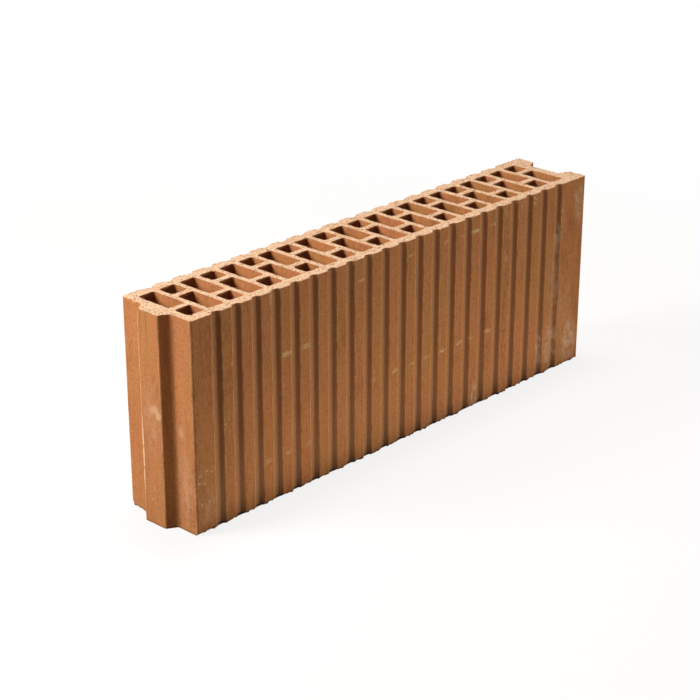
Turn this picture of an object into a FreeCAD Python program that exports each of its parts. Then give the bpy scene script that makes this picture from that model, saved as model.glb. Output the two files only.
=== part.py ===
import FreeCAD, Part
import math
import os

# Hollow clay partition block, extruded and fired in one piece, in millimetres.
# X runs along the block from its tongue to its slot, Y across its thickness, Z up along its cells.
# The origin is the middle of the block's box, on the lower bed face.

# Overall sizes
BODY_LENGTH = 498.0  # from the tongue's shoulder to the ends of the slot's wings
THICKNESS = 80.0  # over the rib crests of both faces
HEIGHT = 184.0  # between the two cut bed faces
BODY_EDGE = 2.5  # rounding of the four upright edges of the body

# Cells: each column across the thickness has a large cell and a small one, turned about in the next column
CELL_LENGTH = 16.2  # along X, for both kinds
SMALL_CELL_WIDTH = 16.0  # along Y
CELL_EDGE = 2.5  # rounding of the upright edges of a cell
FACE_SHELL = 11.0  # from a rib crest to the nearest cell
LONG_WEB = 6.0  # between the two cells of a column
CROSS_WEB = 5.36  # between neighbouring columns
TONGUE_END_WALL = 7.8  # from the shoulder to the first column
SLOT_END_WALL = 8.0  # least wall from the last column to the slot's floor

# Grooves between the ribs of both faces, one over each cross web
GROOVE_MOUTH = 10.4
GROOVE_FLOOR = 4.6
GROOVE_DEPTH = 3.0
RIB_EDGE = 1.6  # rounding of a rib's crest where it turns into a groove

# Tongue, and the slot that takes the tongue of the next block
TONGUE_REACH = 9.0
TONGUE_ROOT = 34.0
TONGUE_TIP = 24.0
TONGUE_EDGE = 2.0
TONGUE_ROOT_EDGE = 3.5
SLOT_PLAY = 4.5  # room on each side of a tongue in the slot
SLOT_ROOM = 3.0  # room beyond the tip of a tongue in the slot
SLOT_MOUTH_EDGE = 3.0
SLOT_FLOOR_EDGE = 2.0

# Share of a side that the rounding at one of its ends may take
ROUNDING_SHARE = 0.45

# Places along X
SHOULDER_X = (TONGUE_REACH - BODY_LENGTH) / 2
TONGUE_TIP_X = SHOULDER_X - TONGUE_REACH
WING_END_X = SHOULDER_X + BODY_LENGTH
SLOT_FLOOR_X = WING_END_X - TONGUE_REACH - SLOT_ROOM
FIRST_CELL_X = SHOULDER_X + TONGUE_END_WALL
COLUMN_PITCH = CELL_LENGTH + CROSS_WEB
COLUMN_COUNT = int((SLOT_FLOOR_X - SLOT_END_WALL - FIRST_CELL_X + CROSS_WEB) // COLUMN_PITCH)

# Places along Y
FACE_Y = THICKNESS / 2
CELL_Y = FACE_Y - FACE_SHELL


def rounding(before, corner, after, radius):
    """Start, middle and end of the arc that rounds a corner between two sides."""
    back = before - corner
    ahead = after - corner
    half_angle = back.getAngle(ahead) / 2
    shorter = min(back.Length, ahead.Length)
    setback = min(radius / math.tan(half_angle), ROUNDING_SHARE * shorter)
    fitted = setback * math.tan(half_angle)
    back.normalize()
    ahead.normalize()
    inward = back + ahead
    inward.normalize()
    middle = corner + inward * (fitted / math.sin(half_angle) - fitted)
    return corner + back * setback, middle, corner + ahead * setback


def rounded_wire(corners):
    """Closed wire in the plane z = 0 through corners given as x, y and rounding radius, 0 where sharp."""
    points = [FreeCAD.Vector(x, y, 0) for x, y, _ in corners]
    turns = []
    for index, (_, _, radius) in enumerate(corners):
        after = points[(index + 1) % len(points)]
        if radius > 0:
            turns.append(rounding(points[index - 1], points[index], after, radius))
        else:
            turns.append([points[index]])
    edges = []
    for turn, following in zip(turns, turns[1:] + turns[:1]):
        if len(turn) > 1:
            edges.append(Part.Arc(*turn).toShape())
        edges.append(Part.LineSegment(turn[-1], following[0]).toShape())
    return Part.Wire(edges)


def ribbed_face(side):
    """Corners of one long face from the tongue end to the slot end; side is -1 in front, 1 behind."""
    crest = side * FACE_Y
    floor = side * (FACE_Y - GROOVE_DEPTH)
    corners = [(SHOULDER_X, crest, BODY_EDGE)]
    for column in range(1, COLUMN_COUNT):
        middle = FIRST_CELL_X + column * COLUMN_PITCH - CROSS_WEB / 2
        corners += [
            (middle - GROOVE_MOUTH / 2, crest, RIB_EDGE),
            (middle - GROOVE_FLOOR / 2, floor, 0),
            (middle + GROOVE_FLOOR / 2, floor, 0),
            (middle + GROOVE_MOUTH / 2, crest, RIB_EDGE),
        ]
    corners.append((WING_END_X, crest, BODY_EDGE))
    return corners


def tongue():
    """Corners of the tapered tongue, from its back root round to its front root."""
    return [
        (SHOULDER_X, TONGUE_ROOT / 2, TONGUE_ROOT_EDGE),
        (TONGUE_TIP_X, TONGUE_TIP / 2, TONGUE_EDGE),
        (TONGUE_TIP_X, -TONGUE_TIP / 2, TONGUE_EDGE),
        (SHOULDER_X, -TONGUE_ROOT / 2, TONGUE_ROOT_EDGE),
    ]


def slot():
    """Corners of the slot between its two wings, which has the tongue's taper and room around it."""
    half_mouth = TONGUE_ROOT / 2 + SLOT_PLAY
    half_floor = TONGUE_TIP / 2 + SLOT_PLAY
    return [
        (WING_END_X, -half_mouth, SLOT_MOUTH_EDGE),
        (SLOT_FLOOR_X, -half_floor, SLOT_FLOOR_EDGE),
        (SLOT_FLOOR_X, half_floor, SLOT_FLOOR_EDGE),
        (WING_END_X, half_mouth, SLOT_MOUTH_EDGE),
    ]


def cell(x, front, back):
    """Wire of one cell that starts at x and reaches from front to back across the thickness."""
    corners = [(x, front), (x + CELL_LENGTH, front), (x + CELL_LENGTH, back), (x, back)]
    return rounded_wire([(px, py, CELL_EDGE) for px, py in corners])


def cells():
    """Wires of all cells; the first column has its small cell in front, the next one behind."""
    wires = []
    for column in range(COLUMN_COUNT):
        x = FIRST_CELL_X + column * COLUMN_PITCH
        if column % 2 == 0:
            split = SMALL_CELL_WIDTH - CELL_Y
        else:
            split = CELL_Y - SMALL_CELL_WIDTH - LONG_WEB
        wires.append(cell(x, -CELL_Y, split))
        wires.append(cell(x, split + LONG_WEB, CELL_Y))
    return wires


def block():
    """The whole block: its section, pushed up over its height."""
    outline = rounded_wire(ribbed_face(-1) + slot() + ribbed_face(1)[::-1] + tongue())
    section = Part.makeFace([outline] + cells(), "Part::FaceMakerBullseye")
    return section.extrude(FreeCAD.Vector(0, 0, HEIGHT))


os.makedirs("parts", exist_ok=True)
block().exportStep("parts/hollow_clay_block.step")
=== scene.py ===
import functools
import itertools
import logging
import math
from dataclasses import dataclass
from enum import Enum
from typing import Any, Callable, Sequence

import bpy
import numpy as np
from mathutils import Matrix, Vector
from mathutils.geometry import delaunay_2d_cdt
from mathutils.kdtree import KDTree


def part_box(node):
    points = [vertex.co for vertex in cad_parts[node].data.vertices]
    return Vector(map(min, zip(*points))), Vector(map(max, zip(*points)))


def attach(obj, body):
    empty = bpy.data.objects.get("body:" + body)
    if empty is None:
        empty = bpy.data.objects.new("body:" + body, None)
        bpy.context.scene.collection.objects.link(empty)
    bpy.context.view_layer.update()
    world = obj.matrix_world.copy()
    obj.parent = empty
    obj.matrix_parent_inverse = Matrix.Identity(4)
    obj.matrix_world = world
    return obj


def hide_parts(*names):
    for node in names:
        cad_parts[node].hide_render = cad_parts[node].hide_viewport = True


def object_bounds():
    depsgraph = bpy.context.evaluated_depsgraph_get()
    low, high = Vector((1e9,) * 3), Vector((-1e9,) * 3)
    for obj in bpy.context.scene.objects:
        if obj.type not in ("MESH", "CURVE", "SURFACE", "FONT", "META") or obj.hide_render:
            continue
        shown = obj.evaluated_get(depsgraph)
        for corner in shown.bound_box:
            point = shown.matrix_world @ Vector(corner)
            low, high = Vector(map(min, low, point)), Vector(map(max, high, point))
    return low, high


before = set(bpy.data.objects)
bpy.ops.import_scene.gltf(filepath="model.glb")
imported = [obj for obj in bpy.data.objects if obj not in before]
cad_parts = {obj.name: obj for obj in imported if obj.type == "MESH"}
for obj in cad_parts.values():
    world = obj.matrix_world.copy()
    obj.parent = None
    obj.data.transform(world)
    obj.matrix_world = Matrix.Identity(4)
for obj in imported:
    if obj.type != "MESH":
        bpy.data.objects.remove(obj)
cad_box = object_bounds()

log = logging.getLogger("hollow_clay_block")

MM = 0.001
PHOTO_SIDE = 700
SENSOR_MM = 36.0
BLOCK_NODE = "hollow_clay_block"
CLAY_SLOT = "fired_clay"
WHITE = (1.0, 1.0, 1.0, 1.0)
SEEN_RAYS = ("Camera", "Glossy", "Transmission")
NOISE_MIDDLE = 0.5
FLECK_EDGE = 0.05
FLAT_TOLERANCE = 0.01
WELD_DIGITS = 3
TRIANGLES_INSIDE = 1
TINY = 1e-6

Triple = tuple[float, float, float]


class Cut(Enum):
    """The two wire-cut bed faces of the block, with the way each one faces."""

    LOWER = -1
    UPPER = 1


@dataclass(frozen=True)
class Tint:
    """A colour as it is written for a screen, each channel from 0 to 255."""

    red: int
    green: int
    blue: int

    @property
    def linear(self) -> tuple[float, float, float, float]:
        """The colour in linear light, by the curve of a common screen.

        Returns:
            Red, green and blue from 0 to 1, and full alpha.
        """
        shares = [channel / 255 for channel in (self.red, self.green, self.blue)]
        bent = [s / 12.92 if s <= 0.04045 else ((s + 0.055) / 1.055) ** 2.4 for s in shares]
        return bent[0], bent[1], bent[2], 1.0


class Signal:
    """One output socket of a node tree, for use in Python expressions."""

    def __init__(self, sheet: "NodeSheet", socket: bpy.types.NodeSocket | None) -> None:
        """Keep the sheet that the socket belongs to and the socket."""
        self.sheet = sheet
        self.socket = socket

    def __add__(self, other: "Signal | float") -> "Signal":
        """Sum."""
        return self.sheet.math("ADD", self, other)

    def __radd__(self, other: float) -> "Signal":
        """Sum with the number first."""
        return self.sheet.math("ADD", other, self)

    def __sub__(self, other: "Signal | float") -> "Signal":
        """Difference."""
        return self.sheet.math("SUBTRACT", self, other)

    def __rsub__(self, other: float) -> "Signal":
        """Difference with the number first."""
        return self.sheet.math("SUBTRACT", other, self)

    def __mul__(self, other: "Signal | float") -> "Signal":
        """Product."""
        return self.sheet.math("MULTIPLY", self, other)

    def __rmul__(self, other: float) -> "Signal":
        """Product with the number first."""
        return self.sheet.math("MULTIPLY", other, self)

    def at_least(self, other: "Signal | float") -> "Signal":
        """The larger of two values."""
        return self.sheet.math("MAXIMUM", self, other)

    def ramp(self, start: float, end: float) -> "Signal":
        """Smooth step from 0 at start to 1 at end; start may be the larger one."""
        return self.sheet.node(
            "ShaderNodeMapRange",
            {"interpolation_type": "SMOOTHSTEP"},
            {"Value": self, "From Min": start, "From Max": end},
        )

    def axis(self, name: str) -> "Signal":
        """One coordinate of a vector, by its letter."""
        return self.sheet.node("ShaderNodeSeparateXYZ", None, {0: self}, name)

    def noise(
        self, period: Triple, detail: float = 2.0, rough: float = 0.5, output: str | int = 0
    ) -> "Signal":
        """Soft noise between about 0 and 1 at a point given in millimetres.

        Args:
            period: Size of a blot along each axis in millimetres.
            detail: Number of finer layers.
            rough: Strength of each finer layer.
            output: Output of the noise, its value or its colour.

        Returns:
            The noise.
        """
        inputs = {
            "Vector": self.sheet.vector("DIVIDE", self, period),
            "Scale": 1.0,
            "Detail": detail,
            "Roughness": rough,
        }
        return self.sheet.node("ShaderNodeTexNoise", None, inputs, output)

    def frayed(self, period: float, reach: Triple) -> "Signal":
        """A point pushed about by soft noise, which frays what is drawn with it.

        Args:
            period: Size of a push in millimetres.
            reach: Range of the push along each axis in millimetres.

        Returns:
            The pushed point.
        """
        ripple = self.noise((period, period, period), detail=3.0, output="Color")
        middle = (NOISE_MIDDLE, NOISE_MIDDLE, NOISE_MIDDLE)
        push = self.sheet.vector("MULTIPLY", self.sheet.vector("SUBTRACT", ripple, middle), reach)
        return self.sheet.vector("ADD", self, push)


class NodeSheet:
    """A node tree that is filled by Python calls."""

    def __init__(self, tree: bpy.types.NodeTree) -> None:
        """Take over a tree and empty it."""
        self.tree = tree
        self.tree.nodes.clear()

    def node(
        self,
        kind: str,
        settings: dict[str, Any] | None = None,
        inputs: dict[str | int, Any] | None = None,
        output: str | int = 0,
    ) -> Signal:
        """Add one node.

        Args:
            kind: Type of the node.
            settings: Properties of the node, set before its sockets.
            inputs: Value or link of each socket, by name or place.
            output: Name or place of the socket to hand back.

        Returns:
            The chosen output of the new node.
        """
        made = self.tree.nodes.new(kind)
        for name, value in (settings or {}).items():
            setattr(made, name, value)
        for key, value in (inputs or {}).items():
            socket = made.inputs[key]
            if isinstance(value, Signal):
                self.tree.links.new(value.socket, socket)
            else:
                socket.default_value = value
        return Signal(self, made.outputs[output] if len(made.outputs) else None)

    def math(self, operation: str, *values: "Signal | float") -> Signal:
        """One Math node on one or two values."""
        return self.node("ShaderNodeMath", {"operation": operation}, dict(enumerate(values)))

    def vector(self, operation: str, *values: "Signal | Sequence[float]", output: str = "Vector") -> Signal:
        """One Vector Math node on one or two vectors."""
        return self.node("ShaderNodeVectorMath", {"operation": operation}, dict(enumerate(values)), output)

    def mark(self, name: str) -> Signal:
        """A value that the mesh holds for each of its points."""
        return self.node("ShaderNodeAttribute", {"attribute_name": name}, output="Fac")

    def seen(self) -> Signal:
        """1 for what the camera sees straight, in a reflection or through glass, else 0."""
        rays = [self.node("ShaderNodeLightPath", output=f"Is {kind} Ray") for kind in SEEN_RAYS]
        return rays[0].at_least(rays[1]).at_least(rays[2])

    def blend(self, share: Signal, first: Signal, second: Signal) -> Signal:
        """Shader that is the first one where share is 0 and the second one where it is 1."""
        return self.node("ShaderNodeMixShader", None, {0: share, 1: first, 2: second})

    def mix(self, base: "Signal | Tint", over: "Signal | Tint", share: "Signal | float") -> Signal:
        """Blend of two colours.

        Args:
            base: Colour where share is 0.
            over: Colour where share is 1.
            share: How much of the second colour shows.

        Returns:
            The blended colour.
        """
        ends = [end.linear if isinstance(end, Tint) else end for end in (base, over)]
        settings = {"data_type": "RGBA", "clamp_factor": True}
        # Colours are the Mix node's inputs 6 and 7 and its output 2.
        return self.node("ShaderNodeMix", settings, {0: share, 6: ends[0], 7: ends[1]}, 2)

    def layered(self, base: "Signal | Tint", layers: Sequence[tuple[Tint, Signal]]) -> Signal:
        """Colours laid one over the other.

        Args:
            base: Lowest colour.
            layers: Each further colour with its cover, from below to above.

        Returns:
            The colour that shows.
        """
        for tint, cover in layers:
            base = self.mix(base, tint, cover)
        return base


@dataclass(frozen=True)
class Fade:
    """Levels of a signal between which a layer comes in, and the strength that it comes to."""

    start: float
    end: float
    strength: float = 1.0

    def of(self, level: Signal) -> Signal:
        """The layer's cover at a level of the signal."""
        return level.ramp(self.start, self.end) * self.strength


@dataclass(frozen=True)
class Noise:
    """Soft noise: the size of its blots along each axis in millimetres, and its finer layers."""

    period: Triple
    detail: float = 2.0
    rough: float = 0.5

    def at(self, place: Signal) -> Signal:
        """The noise at a point of the surface in millimetres."""
        return place.noise(self.period, self.detail, self.rough)


@dataclass(frozen=True)
class Blots:
    """A layer of blots, which comes in between two levels of a noise."""

    noise: Noise
    fade: Fade

    def cover(self, place: Signal) -> Signal:
        """The layer's cover at a point of the surface in millimetres."""
        return self.fade.of(self.noise.at(place))


@dataclass(frozen=True)
class Flecks:
    """Scattered ragged flecks: size of their noise in millimetres, level above which they show, strength."""

    period: float
    rarity: float
    strength: float = 1.0

    def cover(self, place: Signal) -> Signal:
        """The flecks' cover at a point of the surface in millimetres."""
        level = place.noise((self.period, self.period, self.period))
        return level.ramp(self.rarity, self.rarity + FLECK_EDGE) * self.strength


@dataclass(frozen=True)
class Patch:
    """A marked spot of the surface, an ellipsoid in millimetres."""

    centre: Triple
    reach: Triple
    strength: float


@dataclass(frozen=True)
class FrontRow:
    """Like marks at one height of the front face, in millimetres."""

    height: float
    places: tuple[float, ...]
    strength: float
    reach: Triple = (7.5, 3.0, 2.5)

    def patches(self, front: float) -> list[Patch]:
        """The marks of the row on the face at y = front."""
        return [Patch((place, front, self.height), self.reach, self.strength) for place in self.places]


@dataclass(frozen=True)
class FiredClay:
    """Unglazed fired clay with its extruded skin, its wire-cut faces and its marks."""

    # Colours of the skin, of dirt and wear, of painted shade and highlight, of the cut faces and of the marks
    clay: Tint = Tint(202, 132, 82)
    ochre: Tint = Tint(194, 132, 76)
    russet: Tint = Tint(198, 126, 79)
    flash: Tint = Tint(150, 94, 54)
    iron: Tint = Tint(112, 68, 40)
    # painted shade on the sloping sides of the grooves
    groove_shade: Tint = Tint(142, 98, 66)
    ash: Tint = Tint(190, 152, 120)
    raw: Tint = Tint(214, 154, 108)
    # rubbed edges, lighter partly from real wear and partly as a painted highlight
    rub_and_highlight: Tint = Tint(226, 164, 112)
    # painted shade deep in the cells and on the cells' walls along the block
    painted_shade: Tint = Tint(92, 62, 42)
    # painted shade along the foot of the walls
    foot_shade: Tint = Tint(72, 46, 30)
    crumb: Tint = Tint(228, 202, 174)
    grain: Tint = Tint(200, 150, 110)
    # painted shade in the pits of the cut faces
    pit_shade: Tint = Tint(132, 84, 54)
    scuff: Tint = Tint(234, 200, 154)
    peach: Tint = Tint(246, 204, 166)
    lime: Tint = Tint(236, 204, 160)
    bloom: Tint = Tint(222, 186, 158)
    skin_roughness: float = 0.78
    cut_roughness: float = 0.95
    specular: float = 0.25

    # Layers of the skin
    grit: Noise = Noise((1.7, 1.7, 1.7), 3.0, 0.65)
    dark_grit: Fade = Fade(0.5, 0.72, 0.6)
    pale_grit: Fade = Fade(0.47, 0.28, 0.55)
    streaks: Blots = Blots(Noise((12.0, 12.0, 110.0), 3.0, 0.55), Fade(0.4, 0.62))
    clouds: Blots = Blots(Noise((60.0, 60.0, 80.0), 3.0, 0.55), Fade(0.45, 0.65, 0.8))
    smoke: Blots = Blots(Noise((18.0, 18.0, 50.0), 4.0, 0.65), Fade(0.52, 0.75, 0.5))
    drawn_lines: Blots = Blots(Noise((2.2, 2.2, 50.0)), Fade(0.5, 0.75, 0.35))
    # rubs on convex edges, partly wear and partly a painted highlight
    edge_rubs_and_highlights: Blots = Blots(Noise((4.0, 4.0, 16.0), 3.0, 0.6), Fade(0.34, 0.56, 0.8))
    iron_flecks: Flecks = Flecks(2.6, 0.7, 0.5)
    # share of the painted shade on the groove sides
    groove_shade_share: float = 0.55
    ash_share: float = 0.3
    low_ash: Fade = Fade(90.0, 5.0, 0.45)
    # share of the painted shade in the cells
    painted_shade_share: float = 0.95

    # Painted shade at the foot of the walls, less of it on the tongue's end
    foot: Fade = Fade(2.8, 1.0)
    foot_ragged: float = 2.4
    past_end: Fade = Fade(-243.5, -240.0, 0.6)
    end_foot_shade: float = 0.3

    # Layers of the cut faces and of fresh breaks
    cut_edge: Fade = Fade(0.35, 0.55)
    cut_ragged: float = 0.4
    cut_rim: Fade = Fade(0.95, 0.75, 0.5)
    cut_fray: tuple[float, Triple] = (3.0, (2.0, 2.0, 2.0))
    cut_crumbs: Blots = Blots(Noise((1.2, 1.2, 1.2), 4.0, 0.7), Fade(0.44, 0.62, 0.9))
    cut_tone: Blots = Blots(Noise((16.0, 16.0, 16.0), 3.0, 0.6), Fade(0.45, 0.7, 0.4))
    wire_drag: Blots = Blots(Noise((1.0, 24.0, 3.0)), Fade(0.52, 0.75, 0.3))
    # flecks of painted shade in the pits of the cut faces
    pits: Flecks = Flecks(1.5, 0.58, 0.85)
    cut_iron: Flecks = Flecks(2.2, 0.64, 0.6)
    break_depth: Fade = Fade(0.1, 0.8)
    break_grit: Fade = Fade(0.3, 0.6, 0.9)

    # Relief
    fine_grain: Noise = Noise((1.1, 1.1, 1.1), 3.0, 0.65)
    fine_rise: float = 0.7
    drag_lines: Noise = Noise((1.3, 1.3, 45.0))
    drag_rise: float = 0.5
    torn_grain: Noise = Noise((1.6, 1.6, 1.6), 4.0, 0.7)
    torn_rise: float = 1.7
    bump_strength: float = 0.7
    bump_depth: float = 0.5

    # How the marks fray and break up, and the share of each kind's reach that is at full strength
    loose_fray: tuple[float, Triple] = (4.0, (7.0, 2.0, 4.0))
    tight_fray: tuple[float, Triple] = (1.5, (1.6, 1.2, 1.6))
    stain_blots: Blots = Blots(Noise((3.0, 3.0, 7.0), 3.0, 0.65), Fade(0.45, 0.6))
    stain_core: float = 0.4
    bloom_veil: Blots = Blots(Noise((5.0, 5.0, 9.0), 4.0, 0.7), Fade(0.38, 0.6))
    bloom_core: float = 0.3
    seam_beads: Blots = Blots(Noise((2.4, 2.4, 3.6)), Fade(0.3, 0.5))
    seam_core: float = 0.5
    scuff_strokes: Blots = Blots(Noise((9.0, 3.0, 1.4), 3.0, 0.6), Fade(0.34, 0.56))
    scuff_core: float = 0.3
    speck_flecks: Flecks = Flecks(1.7, 0.57)
    speck_core: float = 0.5
    speck_share: float = 0.85
    stray_flecks: Flecks = Flecks(2.8, 0.73, 0.5)
    edge_flecks: Flecks = Flecks(1.6, 0.6, 0.6)
    pock_core: float = 0.4
    smear_core: float = 0.2

    # Places of the marks
    scuffs: tuple[FrontRow, ...] = (
        FrontRow(170.0, (94.0,), 0.85, (9.0, 3.0, 3.0)),
        FrontRow(170.0, (9.0, 55.0, 79.0, 118.0), 0.45),
        FrontRow(69.5, (-10.0, 52.0, 74.0, 114.0), 0.7),
        FrontRow(69.5, (-38.0, 12.0, 30.0, 90.0), 0.35),
        FrontRow(126.0, (-143.0, -120.0), 0.8, (8.5, 3.0, 3.0)),
        FrontRow(165.0, (-53.0,), 0.6),
        FrontRow(92.0, (-150.0, -86.0), 0.25, (5.0, 3.0, 3.0)),
        FrontRow(38.0, (-164.0, -141.0, -118.0), 0.35, (6.0, 3.0, 3.6)),
        FrontRow(131.0, (138.5,), 0.8, (3.4, 3.0, 1.8)),
        FrontRow(178.0, (-175.0, -159.0), 0.55, (4.0, 3.0, 7.0)),
    )
    specks: tuple[FrontRow, ...] = (
        FrontRow(53.0, (-239.0, -233.0, -226.5), 1.0, (4.5, 2.0, 3.4)),
        FrontRow(44.5, (-241.0, -235.5), 1.0, (3.6, 2.0, 2.8)),
        FrontRow(27.0, (-232.8, -240.5), 0.8, (4.0, 2.0, 5.0)),
        FrontRow(102.0, (-222.0, -208.0), 0.9, (2.6, 2.0, 9.0)),
        FrontRow(86.0, (-212.0,), 0.9, (3.0, 2.0, 6.0)),
        FrontRow(136.0, (-202.0,), 0.9, (3.0, 2.0, 3.0)),
        FrontRow(150.0, (212.0, 220.0), 0.9, (5.0, 3.0, 26.0)),
        FrontRow(160.0, (246.0,), 0.8, (6.0, 2.0, 26.0)),
        FrontRow(177.0, (140.0, 161.0, 179.0), 1.0, (6.0, 3.0, 7.0)),
    )
    tip_specks: tuple[Patch, ...] = (
        Patch((-253.5, -1.2, 33.0), (2.0, 3.4, 2.6), 1.0),
        Patch((-253.5, 2.1, 22.0), (2.0, 3.4, 2.6), 1.0),
        Patch((-253.0, -10.5, 26.0), (2.0, 2.6, 5.0), 1.0),
    )
    blooms: tuple[Patch, ...] = (
        Patch((216.0, -38.0, 130.0), (4.0, 6.0, 22.0), 0.9),
        Patch((216.0, -38.0, 80.0), (3.5, 6.0, 52.0), 0.6),
        Patch((216.0, -38.0, 28.0), (4.5, 6.0, 26.0), 0.85),
        Patch((194.0, -38.0, 26.0), (4.5, 6.0, 30.0), 0.85),
        Patch((240.0, -40.0, 162.0), (3.5, 6.0, 18.0), 0.8),
        Patch((238.0, -40.0, 22.0), (15.0, 8.0, 32.0), 1.0),
        Patch((97.0, -40.0, 10.0), (7.0, 8.0, 20.0), 0.9),
        Patch((246.0, -40.0, 158.0), (8.0, 6.0, 28.0), 0.4),
        Patch((205.0, -40.0, 92.0), (9.0, 5.0, 50.0), 0.15),
        Patch((205.0, -40.0, 30.0), (10.0, 5.0, 34.0), 0.6),
        Patch((230.0, -40.0, 60.0), (18.0, 6.0, 44.0), 0.25),
        Patch((-253.5, 0.0, 95.0), (4.0, 12.0, 45.0), 0.25),
        Patch((-244.5, -28.0, 40.0), (4.0, 12.0, 45.0), 0.3),
        Patch((-230.0, -40.0, 20.0), (14.0, 6.0, 24.0), 0.3),
    )
    seams: tuple[Patch, ...] = (
        Patch((-253.2, 11.4, 60.0), (3.0, 1.9, 44.0), 1.0),
        Patch((-253.2, 11.4, 130.0), (3.0, 1.0, 60.0), 0.2),
    )
    smears: tuple[Patch, ...] = (
        Patch((-253.5, -8.5, 98.5), (5.0, 5.5, 6.0), 0.48),
        Patch((-253.5, -4.0, 102.0), (5.0, 9.0, 6.0), 0.4),
        Patch((-244.5, -24.0, 86.0), (4.0, 5.0, 8.0), 0.3),
    )
    stains: tuple[Patch, ...] = (
        Patch((138.0, -40.0, 95.0), (7.0, 5.0, 100.0), 0.7),
        Patch((-214.0, -40.0, 140.0), (30.0, 5.0, 60.0), 0.45),
        Patch((228.0, -40.0, 120.0), (12.0, 5.0, 60.0), 0.4),
    )
    pocks: tuple[Patch, ...] = (
        Patch((141.0, -40.0, 136.0), (1.7, 3.0, 4.2), 0.9),
        Patch((139.0, -40.0, 180.0), (2.2, 3.0, 2.4), 0.8),
    )

    def material(self, front: float) -> bpy.types.Material:
        """Make the finish.

        Args:
            front: Place of the front face along Y in millimetres.

        Returns:
            The material for the block.
        """
        made = bpy.data.materials.new(CLAY_SLOT)
        made.use_nodes = True
        sheet = NodeSheet(made.node_tree)
        metres = sheet.node("ShaderNodeTexCoord", output="Object")
        place = sheet.vector("DIVIDE", metres, (MM, MM, MM))
        cut = sheet.mark("cut")
        grit = self.grit.at(place)
        cut_share = self.cut_edge.of(cut + (grit - NOISE_MIDDLE) * self.cut_ragged)
        skin = self.marked(place, self.skin_colour(place, grit), front)
        # painted shade along the foot of the walls
        skin = sheet.mix(skin, self.foot_shade, self.painted_foot_shade(place, grit))
        colour = sheet.mix(skin, self.cut_colour(place, cut), cut_share)
        broken = self.break_depth.of(sheet.mark("broken")) * self.break_grit.of(grit)
        shader = sheet.node(
            "ShaderNodeBsdfPrincipled",
            None,
            {
                "Base Color": sheet.mix(colour, self.raw, broken),
                "Roughness": cut_share * (self.cut_roughness - self.skin_roughness) + self.skin_roughness,
                "Specular IOR Level": self.specular,
                "Normal": self.relief(place, cut_share),
            },
        )
        sheet.node("ShaderNodeOutputMaterial", None, {"Surface": shader})
        return made

    def skin_colour(self, place: Signal, grit: Signal) -> Signal:
        """Colour of the extruded skin.

        Args:
            place: Point of the surface in millimetres.
            grit: Fine noise of the clay.

        Returns:
            The colour, with streaks along the die's travel, painted shade on the groove sides and in the
            cells, rubbed edges that are partly a painted highlight, and iron flecks.
        """
        sheet = place.sheet
        shelter = sheet.mark("shelter")
        trough = sheet.mark("trough")
        settled = self.low_ash.of(place.axis("Z")) * trough.at_least(shelter)
        layers = (
            (self.ochre, self.streaks.cover(place)),
            (self.russet, self.clouds.cover(place)),
            (self.flash, self.smoke.cover(place)),
            (self.flash, self.drawn_lines.cover(place)),
            (self.flash, self.dark_grit.of(grit)),
            (self.raw, self.pale_grit.of(grit)),
            # painted shade on the groove sides, where the shelter mark is
            (self.groove_shade, shelter * self.groove_shade_share),
            (self.ash, settled.at_least(trough * self.ash_share)),
            # painted shade in the cells, held by the depth mark
            (self.painted_shade, sheet.mark("depth") * self.painted_shade_share),
            # rubbed convex edges, partly wear and partly a painted highlight
            (self.rub_and_highlight, sheet.mark("edge") * self.edge_rubs_and_highlights.cover(place)),
            (self.iron, self.iron_flecks.cover(place)),
        )
        return sheet.layered(self.clay, layers)

    def painted_foot_shade(self, place: Signal, grit: Signal) -> Signal:
        """How much painted shade darkens the foot of the walls, less on the tongue's end than along the
        block.
        """
        height = place.axis("Z") + (grit - NOISE_MIDDLE) * self.foot_ragged
        return self.foot.of(height) * (self.past_end.of(place.axis("X")) + self.end_foot_shade)

    def spread(self, place: Signal, marks: Sequence[Patch], core: float) -> Signal:
        """How strongly any of some marks covers a point.

        Args:
            place: Point of the surface in millimetres.
            marks: The marks.
            core: Share of a mark's reach within which it is at full strength.

        Returns:
            The strongest mark's cover, from 0 to 1.
        """
        covers = []
        for mark in marks:
            offset = place.sheet.vector("SUBTRACT", place, mark.centre)
            share = place.sheet.vector("DIVIDE", offset, mark.reach)
            covers.append(place.sheet.vector("LENGTH", share, output="Value").ramp(1.0, core) * mark.strength)
        return functools.reduce(Signal.at_least, covers)

    def marked(self, place: Signal, colour: Signal, front: float) -> Signal:
        """Skin colour with its stains, pale deposits, rubs and lime specks.

        Args:
            place: Point of the surface in millimetres.
            colour: Colour of the bare skin.
            front: Place of the front face along Y in millimetres.

        Returns:
            The marked colour.
        """
        loose = place.frayed(*self.loose_fray)
        tight = place.frayed(*self.tight_fray)
        rubs = [patch for row in self.scuffs for patch in row.patches(front)]
        specks = [patch for row in self.specks for patch in row.patches(front)] + list(self.tip_specks)
        stained = self.spread(loose, self.stains, self.stain_core) * self.stain_blots.cover(place)
        bloomed = self.spread(loose, self.blooms, self.bloom_core) * self.bloom_veil.cover(place)
        pocked = self.spread(tight, self.pocks, self.pock_core)
        seamed = self.spread(tight, self.seams, self.seam_core) * self.seam_beads.cover(place)
        smeared = self.spread(loose, self.smears, self.smear_core)
        rubbed = self.spread(loose, rubs, self.scuff_core) * self.scuff_strokes.cover(place)
        specked = self.spread(place, specks, self.speck_core) * self.speck_flecks.cover(place)
        specked = specked.at_least(self.stray_flecks.cover(loose))
        specked = specked.at_least(self.edge_flecks.cover(place) * place.sheet.mark("edge"))
        layers = (
            (self.flash, stained),
            (self.bloom, bloomed),
            (self.iron, pocked),
            (self.peach, smeared.at_least(seamed)),
            (self.scuff, rubbed),
            (self.lime, specked * self.speck_share),
        )
        return place.sheet.layered(colour, layers)

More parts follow.
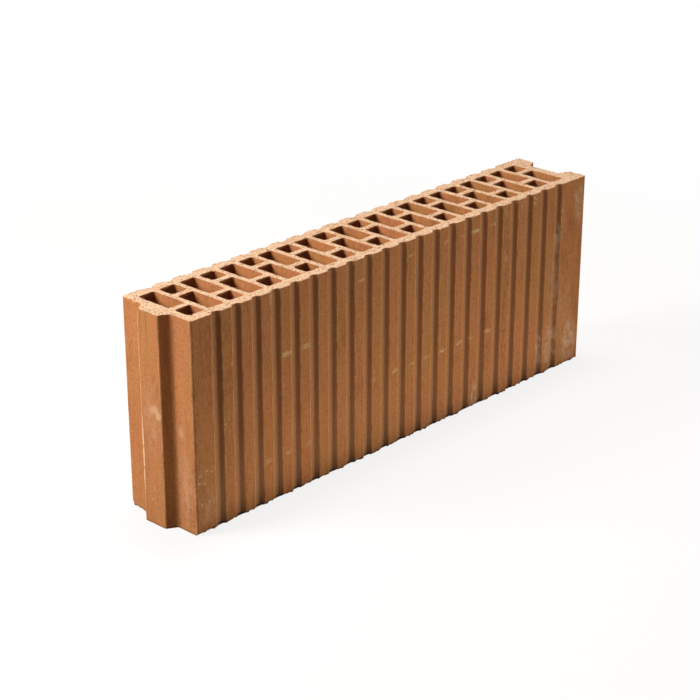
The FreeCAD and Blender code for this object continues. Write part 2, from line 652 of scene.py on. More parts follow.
    def cut_colour(self, place: Signal, cut: Signal) -> Signal:
        """Colour of the wire-cut faces.

        Args:
            place: Point of the surface in millimetres.
            cut: Mark of the cut faces, lower at their rims.

        Returns:
            Pale crumbs with orange grains and rims, the wire's drag marks, and painted shade in pits.
        """
        torn = place.frayed(*self.cut_fray)
        layers = (
            (self.grain, self.cut_crumbs.cover(torn)),
            (self.grain, self.cut_tone.cover(place)),
            (self.grain, self.wire_drag.cover(torn)),
            (self.grain, self.cut_rim.of(cut)),
            # painted shade in the pits
            (self.pit_shade, self.pits.cover(torn)),
            (self.iron, self.cut_iron.cover(torn)),
        )
        return place.sheet.layered(self.crumb, layers)

    def relief(self, place: Signal, cut_share: Signal) -> Signal:
        """Normal of the surface.

        Args:
            place: Point of the surface in millimetres.
            cut_share: 1 on the cut faces, 0 on the skin.

        Returns:
            The normal, with fine grain and drag lines on the skin and torn grains on the cut faces.
        """
        fine = self.fine_grain.at(place) * self.fine_rise
        drag = self.drag_lines.at(place) * self.drag_rise
        torn = self.torn_grain.at(place) * cut_share * self.torn_rise
        inputs = {
            "Strength": self.bump_strength,
            "Distance": self.bump_depth * MM,
            "Height": (fine + drag) * (1 - cut_share) + torn,
        }
        return place.sheet.node("ShaderNodeBump", None, inputs)


@dataclass(frozen=True)
class Wave:
    """One layer of unevenness: its height, and the size of its blots along each axis, in millimetres."""

    height: float
    period: Triple


class GrainField:
    """Smooth repeatable noise over points in space."""

    SIZE = 256

    def __init__(self, seed: int) -> None:
        """Shuffle the lattice of values.

        Args:
            seed: Number that fixes the shuffle.
        """
        chance = np.random.default_rng(seed)
        self.order = chance.permutation(self.SIZE)
        self.level = chance.uniform(-1.0, 1.0, self.SIZE)

    def at(self, points: np.ndarray, period: Triple) -> np.ndarray:
        """Noise at points.

        Args:
            points: Points in millimetres, one a row.
            period: Size of a blot along each axis in millimetres.

        Returns:
            A value between -1 and 1 for each point.
        """
        grid = points / np.asarray(period)
        corner = np.floor(grid).astype(int)
        part = grid - corner
        ease = part * part * (3 - 2 * part)
        total = np.zeros(len(points))
        for step in itertools.product((0, 1), repeat=3):
            key = np.zeros(len(points), int)
            weight = np.ones(len(points))
            for axis, along in enumerate(step):
                key = self.order[(key + corner[:, axis] + along) % self.SIZE]
                weight *= ease[:, axis] if along else 1 - ease[:, axis]
            total += weight * self.level[key]
        return total

    def waves(self, points: np.ndarray, waves: Sequence[Wave]) -> np.ndarray:
        """Sum of some layers of unevenness at points, in millimetres."""
        return sum(wave.height * self.at(points, wave.period) for wave in waves)


@dataclass(frozen=True)
class Section:
    """Level section of the block in millimetres, with the clay on the left of each loop."""

    outline: np.ndarray
    cells: tuple[np.ndarray, ...]

    @classmethod
    def of_node(cls, node: bpy.types.Object) -> "Section":
        """Read the section off the lower face of a construction solid.

        Args:
            node: The solid's object.

        Returns:
            Its outline and cells.
        """
        mesh = node.data
        mesh.calc_loop_triangles()
        corners = np.array([vertex.co[:] for vertex in mesh.vertices]) / MM
        triangles = np.array([triangle.vertices[:] for triangle in mesh.loop_triangles])
        lowest = corners[:, 2].min() + FLAT_TOLERANCE
        lower = triangles[(corners[triangles][:, :, 2] < lowest).all(axis=1)]
        points, names = np.unique(corners[:, :2].round(WELD_DIGITS), axis=0, return_inverse=True)
        names = names.reshape(-1)
        sides = {(a, b) for row in names[lower] for a, b in zip(row, np.roll(row, -1))}
        following = {b: a for a, b in sides if (b, a) not in sides}
        loops = []
        while following:
            start, step = following.popitem()
            chain = [start]
            while step != start:
                chain.append(step)
                step = following.pop(step)
            loops.append(points[chain])
        loops.sort(key=cls.area, reverse=True)
        return cls(loops[0], tuple(loops[1:]))

    @staticmethod
    def area(loop: np.ndarray) -> float:
        """Signed area inside a loop."""
        ahead = np.roll(loop, -1, axis=0)
        return float((loop[:, 0] * ahead[:, 1] - loop[:, 1] * ahead[:, 0]).sum() / 2)

    @staticmethod
    def respaced(loop: np.ndarray, least: float, most: Callable[[float], float], guard: float) -> np.ndarray:
        """The loop with points neither crowded nor far apart.

        Args:
            loop: Points of the loop.
            least: Points nearer than this to the last one kept are dropped.
            most: Longest side at a place along X; longer sides are divided.
            guard: A divided side has a point this near to each of its ends, which keeps its shading flat.

        Returns:
            The new points.
        """
        kept = [loop[0]]
        for point in loop[1:]:
            if np.hypot(*(point - kept[-1])) >= least:
                kept.append(point)
        made = []
        shortest = 4 * guard
        for start, end in zip(kept, kept[1:] + kept[:1]):
            made.append(start)
            length = np.hypot(*(end - start))
            if length > shortest:
                count = max(1, math.ceil((length - 2 * guard) / most((start[0] + end[0]) / 2)))
                shares = np.linspace(guard / length, 1 - guard / length, count + 1)
                made.extend(start + (end - start) * share for share in shares)
        return np.array(made)

    @staticmethod
    def outward(loop: np.ndarray) -> np.ndarray:
        """Unit normals of a loop's points.

        Args:
            loop: Points of the loop.

        Returns:
            The normals, which point out of the clay.
        """
        ahead = np.roll(loop, -1, axis=0) - loop
        ahead /= np.linalg.norm(ahead, axis=1)[:, None]
        along = ahead + np.roll(ahead, 1, axis=0)
        along /= np.linalg.norm(along, axis=1)[:, None]
        return np.stack([along[:, 1], -along[:, 0]], axis=1)

    @staticmethod
    def bend(loop: np.ndarray) -> np.ndarray:
        """How sharply a loop bends at its points.

        Args:
            loop: Points of the loop.

        Returns:
            The bend in radians a millimetre, positive where clay stands out.
        """
        ahead = np.roll(loop, -1, axis=0) - loop
        behind = np.roll(ahead, 1, axis=0)
        cross = behind[:, 0] * ahead[:, 1] - behind[:, 1] * ahead[:, 0]
        span = (np.linalg.norm(ahead, axis=1) + np.linalg.norm(behind, axis=1)) / 2
        return np.arctan2(cross, (ahead * behind).sum(axis=1)) / span


@dataclass(frozen=True)
class Bite:
    """A ball that has knocked clay off, in millimetres, sunk into the clay at a point from one side."""

    point: Triple
    side: Triple
    radius: float
    depth: float

    @property
    def centre(self) -> np.ndarray:
        """Middle of the ball."""
        side = np.array(self.side)
        return np.array(self.point) + side / np.linalg.norm(side) * (self.radius - self.depth)


@dataclass(frozen=True)
class WornEdge:
    """A stretch of edge that was knocked along its length, in millimetres."""

    start: Triple
    end: Triple
    side: Triple
    gap: float
    radius: tuple[float, float]
    depth: tuple[float, float]

    def bites(self, chance: np.random.Generator) -> list[Bite]:
        """Bites of uneven size and spacing along the edge.

        Args:
            chance: Source of unevenness.

        Returns:
            The bites in their order along the edge.
        """
        start, end = np.array(self.start), np.array(self.end)
        count = max(1, round(float(np.linalg.norm(end - start)) / self.gap))
        made = []
        for share in (np.arange(count) + chance.uniform(0.0, 1.0, count)) / count:
            point = start + (end - start) * share
            radius = chance.uniform(*self.radius)
            made.append(Bite(tuple(point), self.side, radius, chance.uniform(*self.depth)))
        return made


@dataclass
class Shell:
    """Points of the body with what is known of each, and the faces between them."""

    points: np.ndarray
    normals: np.ndarray
    cut: np.ndarray
    # edge: convex edges, whose rubs are partly a painted highlight
    edge: np.ndarray
    # shelter: the groove sides, which get painted shade
    shelter: np.ndarray
    trough: np.ndarray
    # depth: how much painted shade the cells' walls get
    depth: np.ndarray
    faces: list[tuple[int, ...]]
    rims: list[dict[Cut, np.ndarray]]

    def add_cut(self, points: np.ndarray, normal: Triple) -> None:
        """Add points of a cut face, which have no other mark.

        Args:
            points: The new points.
            normal: The way the face looks.
        """
        count = len(points)
        self.points = np.vstack([self.points, points])
        self.normals = np.vstack([self.normals, np.tile(normal, (count, 1))])
        self.cut = np.concatenate([self.cut, np.ones(count)])
        for name in ("edge", "shelter", "trough", "depth"):
            setattr(self, name, np.concatenate([getattr(self, name), np.zeros(count)]))


@dataclass
class BlockBody:
    """The block's visible body: the extruded walls and cut faces with their wear, in millimetres."""

    section: Section
    height: float
    finish: FiredClay
    seed: int = 8184

    # Spacing of the mesh
    wall_least: float = 0.4
    wall_step: float = 2.2
    cell_least: float = 0.8
    cell_step: float = 4.2
    guard: float = 0.4
    face_step: float = 2.1
    fine_step: float = 1.1
    fine_end: float = -237.0
    face_margin: float = 0.43
    spot_jitter: float = 0.35
    rim_rows: tuple[float, ...] = (0.0, 0.5, 1.1, 1.9, 3.0, 4.6, 7.0)
    cell_rows: tuple[float, ...] = (0.0, 0.6, 1.4, 2.6, 5.0)
    wall_row: float = 7.0
    cell_row: float = 29.0
    sharp_degrees: float = 55.0

    # Marks of the grooves, the edges and the cells, which carry painted shade on the groove sides and in the
    # cells and a partly painted highlight on the edges
    groove_depth: float = 3.0
    groove_limit: float = 1.1
    groove_span: tuple[float, float] = (-241.0, 250.0)
    side_gain: float = 2.0
    slant_gain: float = 1.4
    floor_start: float = 0.6
    edge_gain: float = 1.5
    # painted shade in the cells: deep down, and on the walls along the block below their rim
    cell_shade: tuple[float, float] = (20.0, 40.0)
    back_wall_shade_share: float = 0.6
    back_wall_shade_rim: float = 3.0

    # Unevenness of the skin and of the cut faces, and how the cut look spills over the edges
    skin_waves: tuple[Wave, ...] = (
        Wave(0.22, (80.0, 80.0, 120.0)),
        Wave(0.08, (11.0, 11.0, 90.0)),
        Wave(0.04, (3.1, 3.1, 9.0)),
    )
    skin_sink: float = 0.1
    torn_waves: tuple[Wave, ...] = (Wave(0.14, (3.3, 3.3, 3.3)), Wave(0.1, (1.7, 1.7, 1.7)))
    torn_sink: float = 0.24
    rim_mark: float = 0.75
    spill: float = 0.25
    spill_waves: tuple[Wave, ...] = (Wave(0.7, (2.8, 2.8, 2.8)),)
    spill_reach: float = 1.3
    lower_spill: float = 0.4

    # Crumbled and knocked edges
    crumb_gap: float = 3.2
    crumb_radius: tuple[float, float] = (0.8, 2.6)
    crumb_depth: tuple[float, float] = (0.05, 0.42)
    lower_share: float = 0.6
    bite_limit: float = 4.0
    bite_waves: tuple[Wave, ...] = (Wave(0.2, (1.4, 1.4, 1.4)),)
    bite_skirt: float = 1.2
    broken_span: tuple[float, float] = (0.25, 1.0)
    chips: tuple[Bite, ...] = (
        Bite((-244.0, 39.5, 0.0), (-0.6, 0.6, -0.5), 7.0, 3.4),
        Bite((140.5, -40.0, 135.0), (0.0, -1.0, 0.2), 3.6, 1.4),
        Bite((137.0, -40.0, 131.5), (0.0, -1.0, 0.0), 2.4, 0.8),
        Bite((139.0, -40.0, 180.5), (0.0, -1.0, 0.3), 3.4, 1.2),
        Bite((-155.8, 28.6, 184.0), (0.2, 0.5, 0.7), 2.6, 1.1),
        Bite((98.0, -40.0, 1.0), (0.0, -0.7, -0.7), 4.2, 1.4),
        Bite((-64.0, -40.0, 0.5), (0.0, -0.7, -0.7), 3.6, 1.2),
        Bite((-146.0, -40.0, 0.5), (0.0, -0.7, -0.7), 3.4, 1.2),
    )
    worn_edges: tuple[WornEdge, ...] = (
        WornEdge(
            (-253.0, 12.0, 184.0), (-245.5, 16.5, 184.0), (-0.45, 0.55, 0.7), 2.2, (3.0, 5.0), (1.2, 2.6)
        ),
        WornEdge((-244.5, 18.0, 184.0), (-244.5, 39.0, 184.0), (-0.7, 0.0, 0.7), 2.4, (2.5, 5.0), (0.6, 1.6)),
        WornEdge(
            (-253.5, -11.0, 184.0), (-253.5, 11.0, 184.0), (-0.7, 0.0, 0.7), 4.0, (1.5, 3.5), (0.2, 0.8)
        ),
        WornEdge(
            (-244.5, -38.0, 184.0), (-244.5, -18.0, 184.0), (-0.7, 0.0, 0.7), 4.0, (1.5, 3.0), (0.2, 0.6)
        ),
        WornEdge((-244.5, 24.0, 0.0), (-244.5, 39.0, 0.0), (-0.7, 0.1, -0.7), 3.0, (3.0, 6.0), (0.8, 2.4)),
        WornEdge((-243.0, -40.0, 0.0), (-224.0, -40.0, 0.0), (0.0, -0.6, -0.8), 3.0, (3.0, 5.0), (1.0, 2.2)),
        WornEdge((-243.0, -40.0, 0.0), (251.0, -40.0, 0.0), (0.0, -0.7, -0.7), 3.6, (2.2, 5.5), (0.5, 1.8)),
        WornEdge(
            (-243.0, -40.0, 184.0), (251.0, -40.0, 184.0), (0.0, -0.7, 0.7), 9.0, (1.5, 3.5), (0.3, 0.9)
        ),
        WornEdge((-243.0, 40.0, 0.0), (251.0, 40.0, 0.0), (0.0, 0.7, -0.7), 5.0, (1.8, 4.5), (0.4, 1.2)),
        WornEdge((-243.0, 40.0, 184.0), (251.0, 40.0, 184.0), (0.0, 0.7, 0.7), 8.0, (1.5, 4.0), (0.3, 1.0)),
        WornEdge((253.5, -38.0, 184.0), (253.5, -23.0, 184.0), (0.7, 0.0, 0.7), 4.0, (1.5, 4.0), (0.3, 1.0)),
        WornEdge((253.5, 23.0, 184.0), (253.5, 38.0, 184.0), (0.7, 0.0, 0.7), 4.0, (1.5, 4.0), (0.3, 1.0)),
    )

    def build(self) -> bpy.types.Object:
        """Make the body's mesh and dress it.

        Returns:
            The finished object.
        """
        chance = np.random.default_rng(self.seed)
        loops = self.loops()
        shell = self.walls(loops)
        for side in Cut:
            self.close(shell, loops, side, chance)
        worn, broken = self.worn(shell, loops, chance)
        return self.dressed(shell, worn, broken)

    def loops(self) -> list[np.ndarray]:
        """The section's loops with their points spaced for the mesh.

        Returns:
            The loops, the outline first.
        """
        outline = self.section.respaced(
            self.section.outline,
            self.wall_least,
            lambda x: self.fine_step if x < self.fine_end else self.wall_step,
            self.guard,
        )
        cells = [
            self.section.respaced(cell, self.cell_least, lambda x: self.cell_step, self.guard)
            for cell in self.section.cells
        ]
        return [outline] + cells

    def levels(self, rim_rows: tuple[float, ...], middle_row: float) -> np.ndarray:
        """Heights of a wall's rows, close together at both cut edges.

        Args:
            rim_rows: Distances from a cut edge of the rows next to it.
            middle_row: Height of a row further in.

        Returns:
            The heights from the lower cut face up.
        """
        rim = np.array(rim_rows)
        count = max(1, round((self.height - 2 * rim[-1]) / middle_row))
        middle = np.linspace(rim[-1], self.height - rim[-1], count + 1)
        return np.concatenate([rim[:-1], middle, (self.height - rim[:-1])[::-1]])

    def level(self, side: Cut) -> float:
        """Height of a cut face."""
        return self.height if side is Cut.UPPER else 0.0

    def below(self, points: np.ndarray) -> np.ndarray:
        """How far points lie from the nearer cut face."""
        return np.minimum(points[:, 2], self.height - points[:, 2])

    def walls(self, loops: list[np.ndarray]) -> Shell:
        """The upright walls.

        Args:
            loops: Loops of the section, the outline first.

        Returns:
            The walls, still open at both cut faces.
        """
        points, normals, edge, faces, rims = [], [], [], [], []
        base = 0
        for index, loop in enumerate(loops):
            if index:
                levels = self.levels(self.cell_rows, self.cell_row)
            else:
                levels = self.levels(self.rim_rows, self.wall_row)
            count, rows = len(loop), len(levels)
            points.append(np.column_stack([np.tile(loop, (rows, 1)), np.repeat(levels, count)]))
            out = np.column_stack([self.section.outward(loop), np.zeros(count)])
            normals.append(np.tile(out, (rows, 1)))
            # the edge mark of convex edges carries rubs that are partly a painted highlight
            edge.append(np.tile(np.clip(self.section.bend(loop) * self.edge_gain, 0.0, 1.0), rows))
            for row in range(rows - 1):
                for step in range(count):
                    near, far = base + row * count + step, base + row * count + (step + 1) % count
                    faces.append((near, far, far + count, near + count))
            ring = np.arange(count)
            rims.append({Cut.LOWER: base + ring, Cut.UPPER: base + (rows - 1) * count + ring})
            base += count * rows
        # the shelter mark of the groove sides carries painted shade
        shelter, trough = self.groove_marks(points[0], normals[0])
        inner = np.zeros(base - len(points[0]))
        depth = [np.zeros(len(points[0]))]
        # the depth mark holds painted shade for the cells' walls
        depth += [self.painted_cell_shade(cell, out) for cell, out in zip(points[1:], normals[1:])]
        return Shell(
            np.concatenate(points),
            np.concatenate(normals),
            np.zeros(base),
            np.concatenate(edge),
            np.concatenate([shelter, inner]),
            np.concatenate([trough, inner]),
            np.concatenate(depth),
            faces,
            rims,
        )

    def groove_marks(self, points: np.ndarray, normals: np.ndarray) -> tuple[np.ndarray, np.ndarray]:
        """How much points of the outer walls belong to the slanting sides and to the floor of a groove.

        Args:
            points: Points of the walls.
            normals: Their outward normals.

        Returns:
            The mark of the sides and the mark of the floors, each from 0 to 1.
        """
        depth = (np.abs(points[:, 1]).max() - np.abs(points[:, 1])) / self.groove_depth
        along = (points[:, 0] > self.groove_span[0]) & (points[:, 0] < self.groove_span[1])
        groove = along & (depth < self.groove_limit)
        slant = np.clip(self.slant_gain * np.abs(normals[:, 0]), 0.0, 1.0)
        side = np.clip(self.side_gain * depth, 0.0, 1.0) * slant
        floor = np.clip((depth - self.floor_start) / (1 - self.floor_start), 0.0, 1.0)
        return np.where(groove, side, 0.0), np.where(groove, floor, 0.0)

    def painted_cell_shade(self, points: np.ndarray, normals: np.ndarray) -> np.ndarray:
        """How much painted shade darkens points of a cell's walls.

        Args:
            points: Points of the walls.
            normals: Their outward normals.

        Returns:
            1 deep inside the block, where the walls get painted shade; the walls along the block get painted
            shade from just below their rim.
        """
        start, end = self.cell_shade
        below = self.below(points)
        deep = np.clip((below - start) / (end - start), 0.0, 1.0)
        # painted shade on the cells' walls that run along the block
        back_wall_shade = self.back_wall_shade_share * np.abs(normals[:, 1]) * np.clip(below / self.back_wall_shade_rim, 0.0, 1.0)
        return np.maximum(deep, back_wall_shade)

    @staticmethod
    def holds(loops: list[np.ndarray], spots: np.ndarray) -> np.ndarray:
        """Which spots of the level plane lie in clay, by counting the sides that a ray crosses.

        Args:
            loops: Loops of the section.
            spots: The spots, one a row.

        Returns:
            True for each spot in clay.
        """
        crossed = np.zeros(len(spots), int)
        for loop in loops:
            for start, end in zip(loop, np.roll(loop, -1, axis=0)):
                if start[1] == end[1]:
                    continue
                level = (spots[:, 1] > start[1]) != (spots[:, 1] > end[1])
                at = start[0] + (spots[:, 1] - start[1]) / (end[1] - start[1]) * (end[0] - start[0])
                crossed += level & (spots[:, 0] < at)
        return crossed % 2 == 1

    def face_spots(self, loops: list[np.ndarray], chance: np.random.Generator) -> np.ndarray:
        """Uneven spots inside a cut face, clear of every wall.

        Args:
            loops: Loops of the section.
            chance: Source of unevenness.

        Returns:
            The spots, closer together at the tongue.
        """
        rim = np.concatenate(loops)
        tree = KDTree(len(rim))
        for index, (x, y) in enumerate(rim):
            tree.insert((x, y, 0.0), index)
        tree.balance()
        low, high = rim.min(axis=0), rim.max(axis=0)
        spots = []
        parts = (low[0], self.fine_end, self.fine_step), (self.fine_end, high[0], self.face_step)
        for start, end, step in parts:
            lines = np.arange(start, end, step), np.arange(low[1], high[1], step)
            grid = np.stack(np.meshgrid(*lines), axis=-1).reshape(-1, 2)
            grid = grid + chance.uniform(-self.spot_jitter, self.spot_jitter, grid.shape) * step
            clear = [tree.find((x, y, 0.0))[2] > self.face_margin * step for x, y in grid]
            spots.append(grid[np.array(clear)])
        spots = np.concatenate(spots)
        return spots[self.holds(loops, spots)]

    def close(self, shell: Shell, loops: list[np.ndarray], side: Cut, chance: np.random.Generator) -> None:
        """Close the walls with one cut face.

        Args:
            shell: The body so far, which the face is added to.
            loops: Loops of the section.
            side: Which face.
            chance: Source of unevenness.
        """
        ring = np.concatenate([rim[side] for rim in shell.rims])
        spots = self.face_spots(loops, chance)
        normal = (0.0, 0.0, float(side.value))
        names = np.concatenate([ring, len(shell.points) + np.arange(len(spots))])
        shell.normals[ring] += normal
        shell.cut[ring] = self.rim_mark
        shell.add_cut(np.column_stack([spots, np.full(len(spots), self.level(side))]), normal)
        flat = [Vector(shell.points[name, :2]) for name in names]
        sides, base = [], 0
        for loop in loops:
            sides += [(base + step, base + (step + 1) % len(loop)) for step in range(len(loop))]
            base += len(loop)
        _, _, laid, origins, _, _ = delaunay_2d_cdt(flat, sides, [], TRIANGLES_INSIDE, TINY)
        source = [origin[0] for origin in origins]
        triangles = names[np.array([[source[corner] for corner in face] for face in laid])]
        triangles = triangles[self.holds(loops, shell.points[triangles].mean(axis=1)[:, :2])]
        if side is Cut.LOWER:
            triangles = triangles[:, ::-1]
        shell.faces += [tuple(row) for row in triangles.tolist()]

    def crumbs(self, loops: list[np.ndarray], chance: np.random.Generator) -> list[Bite]:
        """Small bites along all cut edges.

        Args:
            loops: Loops of the section.
            chance: Source of unevenness.

        Returns:
            The bites, shallower on the lower face.
        """
        made = []
        for loop in loops:
            out = self.section.outward(loop)
            gaps = np.linalg.norm(np.roll(loop, -1, axis=0) - loop, axis=1)
            for side in Cut:
                for index in np.nonzero(chance.random(len(loop)) < gaps / self.crumb_gap)[0]:
                    depth = chance.uniform(*self.crumb_depth)
                    made.append(
                        Bite(
                            (*loop[index], self.level(side)),
                            (*out[index], float(side.value)),
                            chance.uniform(*self.crumb_radius),
                            depth if side is Cut.UPPER else depth * self.lower_share,
                        )
                    )
        return made

    def worn(
        self, shell: Shell, loops: list[np.ndarray], chance: np.random.Generator
    ) -> tuple[np.ndarray, np.ndarray]:
        """Roughen the surfaces and knock the edges.

        Args:
            shell: The fresh body.
            loops: Loops of the section.
            chance: Source of unevenness.

        Returns:
            The worn points, and how far each was knocked off, from 0 to 1.
        """
        field = GrainField(self.seed)
        points = shell.points
        flat = np.column_stack([shell.normals[:, :2], np.zeros(len(points))])
        skin = field.waves(points, self.skin_waves) - self.skin_sink
        worn = points + flat * skin[:, None]
        torn = field.waves(points, self.torn_waves) - self.torn_sink
        worn[:, 2] += np.sign(shell.normals[:, 2]) * shell.cut * torn
        before = worn.copy()
        bites = self.crumbs(loops, chance) + list(self.chips)
        for edge in self.worn_edges:
            bites += edge.bites(chance)
        order = np.argsort(before[:, 0])
        along = before[order, 0]
        for bite in bites:
            reach = bite.radius + self.bite_limit
            first, last = np.searchsorted(along, (bite.centre[0] - reach, bite.centre[0] + reach))
            self.knock(worn, order[first:last], bite, field)
        broken = np.linalg.norm(worn - before, axis=1)
        least, most = self.broken_span
        return worn, np.clip((broken - least) / (most - least), 0.0, 1.0)

    def knock(self, points: np.ndarray, names: np.ndarray, bite: Bite, field: GrainField) -> None:
        """Push the points that lie in a bite out to its rough ball.

        Args:
            points: Points of the body, changed in place.
            names: Points that the bite may reach.
            bite: The ball.
            field: Noise for the ball's roughness.
        """
        offset = points[names] - bite.centre
        distance = np.linalg.norm(offset, axis=1)
        inside = distance < bite.radius * self.bite_skirt
        if not inside.any():
            return
        names, offset, distance = names[inside], offset[inside], distance[inside]
        rough = 1 + field.waves(points[names], self.bite_waves)
        push = np.clip(bite.radius * rough - distance, 0.0, self.bite_limit)
        points[names] += offset / np.maximum(distance, TINY)[:, None] * push[:, None]

    def spilt(self, shell: Shell) -> np.ndarray:
        """The mark of the cut faces, spilt raggedly over their edges.

        Args:
            shell: The fresh body.

        Returns:
            The mark of each point, from 0 to 1.
        """
        ragged = self.spill + GrainField(self.seed + 1).waves(shell.points, self.spill_waves)
        ragged -= np.where(shell.points[:, 2] < self.height / 2, self.lower_spill, 0.0)
        reach = np.clip(ragged - self.below(shell.points) / self.spill_reach, 0.0, self.rim_mark)
        return np.maximum(shell.cut, reach)

    def dressed(self, shell: Shell, points: np.ndarray, broken: np.ndarray) -> bpy.types.Object:
        """Turn the worn points into the finished object.

        Args:
            shell: The fresh body, with its faces and marks.
            points: Worn points in millimetres.
            broken: How far each point was knocked off.

        Returns:
            The object with its finish, riding on the frame in place of its solid.
        """
        mesh = bpy.data.meshes.new("clay_body")
        mesh.from_pydata((points * MM).tolist(), [], shell.faces)
        marks = {
            "cut": self.spilt(shell),
            "broken": broken,
            # edge: rubs that are partly a painted highlight
            "edge": shell.edge,
            "shelter": shell.shelter,
            "trough": shell.trough,
            # depth: painted shade in the cells
            "depth": shell.depth,
        }
        for name, values in marks.items():
            mesh.attributes.new(name, "FLOAT", "POINT").data.foreach_set("value", values.astype(np.float32))
        mesh.polygons.foreach_set("use_smooth", np.ones(len(mesh.polygons), bool))
        mesh.set_sharp_from_angle(angle=math.radians(self.sharp_degrees))
        mesh.materials.append(self.finish.material(self.section.outline[:, 1].min()))
        body = bpy.data.objects.new("clay_body", mesh)
        bpy.context.scene.collection.objects.link(body)
        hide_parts(BLOCK_NODE)
        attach(body, "root")
        return body


@dataclass(frozen=True)
class PaleFloor:
    """Matt floor that keeps a soft shadow, fades to plain white further off, and has a painted contact shadow
    under the block.
    """

    seen: Tint = Tint(250, 249, 247)
    bounce: Tint = Tint(116, 112, 106)
    # painted contact shadow on the floor under the block
    under: Tint = Tint(104, 80, 62)
    glow: float = 0.85
    white_reach: tuple[float, float] = (0.36, 0.95)
    foot_edge: float = 0.001
    foot_inset: tuple[float, float] = (0.012, 0.0024)

    def material(self, foot: tuple[Vector, Vector]) -> bpy.types.Material:
        """Make the finish.

        Args:
            foot: Lowest and highest corner of the box that stands on the floor, in metres.

        Returns:
            The material for the floor.
        """
        made = bpy.data.materials.new("pale_floor")
        made.use_nodes = True
        sheet = NodeSheet(made.node_tree)
        place = sheet.node("ShaderNodeTexCoord", output="Object")
        middle = (foot[0] + foot[1]) / 2
        half = (foot[1] - foot[0]) / 2 - Vector((*self.foot_inset, 0.0))
        offset = sheet.vector("ABSOLUTE", sheet.vector("SUBTRACT", place, (middle.x, middle.y, 0.0)))
        beyond_x = offset.axis("X") - half.x
        beyond_y = offset.axis("Y") - half.y
        clear = beyond_x.at_least(beyond_y).ramp(-self.foot_edge, 0.0)
        matt = sheet.node("ShaderNodeBsdfDiffuse", None, {"Color": self.bounce.linear})
        pale = sheet.node("ShaderNodeBsdfDiffuse", None, {"Color": self.seen.linear})
        # painted contact shadow where the block stands
        dark = sheet.node("ShaderNodeBsdfDiffuse", None, {"Color": self.under.linear})
        white = sheet.node("ShaderNodeEmission", None, {"Color": WHITE, "Strength": 1.0})
        far = sheet.vector("LENGTH", offset, output="Value").ramp(*self.white_reach)
        open_floor = sheet.blend(far * (1 - self.glow) + self.glow, pale, white)
        mixed = sheet.blend(sheet.seen(), matt, sheet.blend(clear, dark, open_floor))
        sheet.node("ShaderNodeOutputMaterial", None, {"Surface": mixed})
        return made


@dataclass(frozen=True)
class SoftLamp:
    """A soft lamp with a rectangular face, in metres and watts."""

    name: str
    place: Triple
    aim: Triple
    face: tuple[float, float]
    watts: float
    tint: Tint

    def switch_on(self) -> bpy.types.Object:
        """Hang the lamp and point it at its aim.

        Returns:
            The lamp.
        """
        light = bpy.data.lights.new(self.name, "AREA")
        light.shape = "RECTANGLE"
        light.size, light.size_y = self.face
        light.energy = self.watts
        light.color = self.tint.linear[:3]
        lamp = bpy.data.objects.new(self.name, light)
        lamp.location = self.place
        lamp.rotation_euler = (Vector(self.aim) - Vector(self.place)).to_track_quat("-Z", "Y").to_euler()
        lamp.visible_camera = False
        bpy.context.scene.collection.objects.link(lamp)
        return lamp


@dataclass(frozen=True)
class PhotoCamera:
    """The photograph's viewpoint, in metres and degrees, with its lens in pixels of the square frame."""

    place: Triple = (-1.1401, -1.0425, 0.7253)
    heading: float = 46.92
    pitch: float = -22.86
    focal_pixels: float = 1911.6

    def set_up(self) -> bpy.types.Object:
        """Put the camera up and make it the scene's own.

        Returns:
            The camera.
        """
        lens = bpy.data.cameras.new("photo_camera")
        lens.sensor_width = SENSOR_MM
        lens.lens = self.focal_pixels / PHOTO_SIDE * SENSOR_MM
        camera = bpy.data.objects.new("photo_camera", lens)
        camera.location = self.place
        camera.rotation_euler = (math.radians(90 + self.pitch), 0.0, math.radians(-self.heading))
        bpy.context.scene.collection.objects.link(camera)
        bpy.context.scene.camera = camera
        return camera


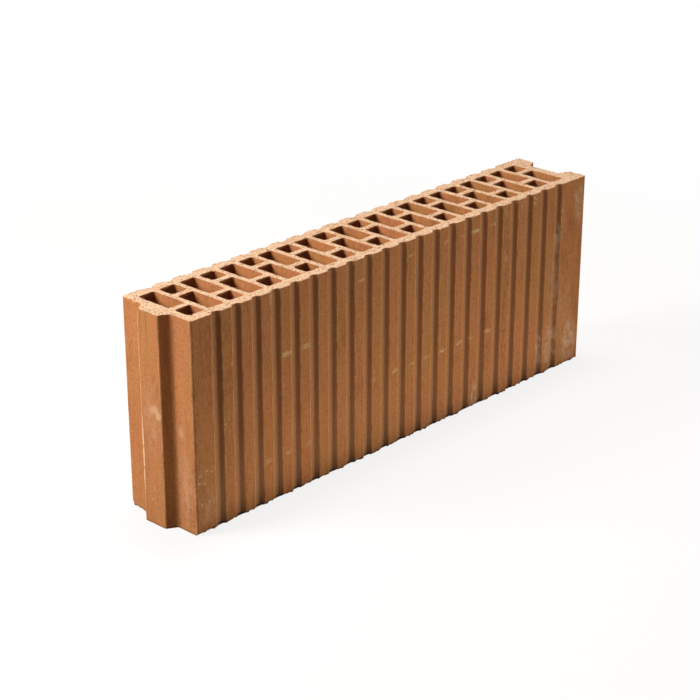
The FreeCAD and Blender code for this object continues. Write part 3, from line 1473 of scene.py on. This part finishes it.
@dataclass(frozen=True)
class Studio:
    """White floor, soft lamps, pale surroundings and the camera."""

    floor_reach: float = 9.0
    floor_gap: float = 0.0003
    sky: Tint = Tint(196, 218, 255)
    sky_strength: float = 0.035
    camera: PhotoCamera = PhotoCamera()
    floor: PaleFloor = PaleFloor()
    lamps: tuple[SoftLamp, ...] = (
        SoftLamp("side_lamp", (-1.22, 0.68, 0.95), (-0.1, 0.0, 0.1), (0.7, 0.7), 28.4, Tint(255, 250, 243)),
        SoftLamp("top_lamp", (0.15, 0.2, 1.8), (0.0, 0.02, 0.18), (0.6, 0.4), 20.2, Tint(255, 246, 234)),
        SoftLamp("fill_lamp", (2.87, -2.09, 0.72), (0.0, 0.0, 0.09), (0.8, 0.8), 46.5, Tint(255, 243, 218)),
        SoftLamp(
            "table_glow", (0.0, -0.181, 0.0002), (0.0, -0.181, 1.0), (0.52, 0.25), 0.31, Tint(255, 243, 218)
        ),
    )

    def set_up(self) -> None:
        """Build the whole studio."""
        self.lay_floor()
        self.light_sky()
        for lamp in self.lamps:
            lamp.switch_on()
            log.info("%s gives %.2f W", lamp.name, lamp.watts)
        self.camera.set_up()
        bpy.context.scene.view_settings.view_transform = "Standard"

    def lay_floor(self) -> bpy.types.Object:
        """Lay the floor just under the block.

        Returns:
            The floor.
        """
        reach = self.floor_reach
        corners = [(x * reach, y * reach, -self.floor_gap) for x, y in ((-1, -1), (1, -1), (1, 1), (-1, 1))]
        mesh = bpy.data.meshes.new("pale_floor")
        mesh.from_pydata(corners, [], [(0, 1, 2, 3)])
        mesh.materials.append(self.floor.material(cad_box))
        laid = bpy.data.objects.new("pale_floor", mesh)
        bpy.context.scene.collection.objects.link(laid)
        return laid

    def light_sky(self) -> None:
        """Fill the surroundings: white to the camera, weak cool light to the block."""
        world = bpy.data.worlds.new("studio_white")
        world.use_nodes = True
        sheet = NodeSheet(world.node_tree)
        cool = {"Color": self.sky.linear, "Strength": self.sky_strength}
        dim = sheet.node("ShaderNodeBackground", None, cool)
        white = sheet.node("ShaderNodeBackground", None, {"Color": WHITE, "Strength": 1.0})
        mixed = sheet.blend(sheet.seen(), dim, white)
        sheet.node("ShaderNodeOutputWorld", None, {"Surface": mixed})
        bpy.context.scene.world = world


def main() -> None:
    """Build the studio and the block, and log the lamps' power and the body's triangle count."""
    logging.basicConfig(level=logging.INFO, format="%(message)s")
    Studio().set_up()
    low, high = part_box(BLOCK_NODE)
    block = BlockBody(Section.of_node(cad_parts[BLOCK_NODE]), (high.z - low.z) / MM, FiredClay())
    body = block.build()
    triangles = sum(len(face.vertices) - 2 for face in body.data.polygons)
    log.info("%s has %d triangles", body.name, triangles)


if __name__ == "__main__":
    main()
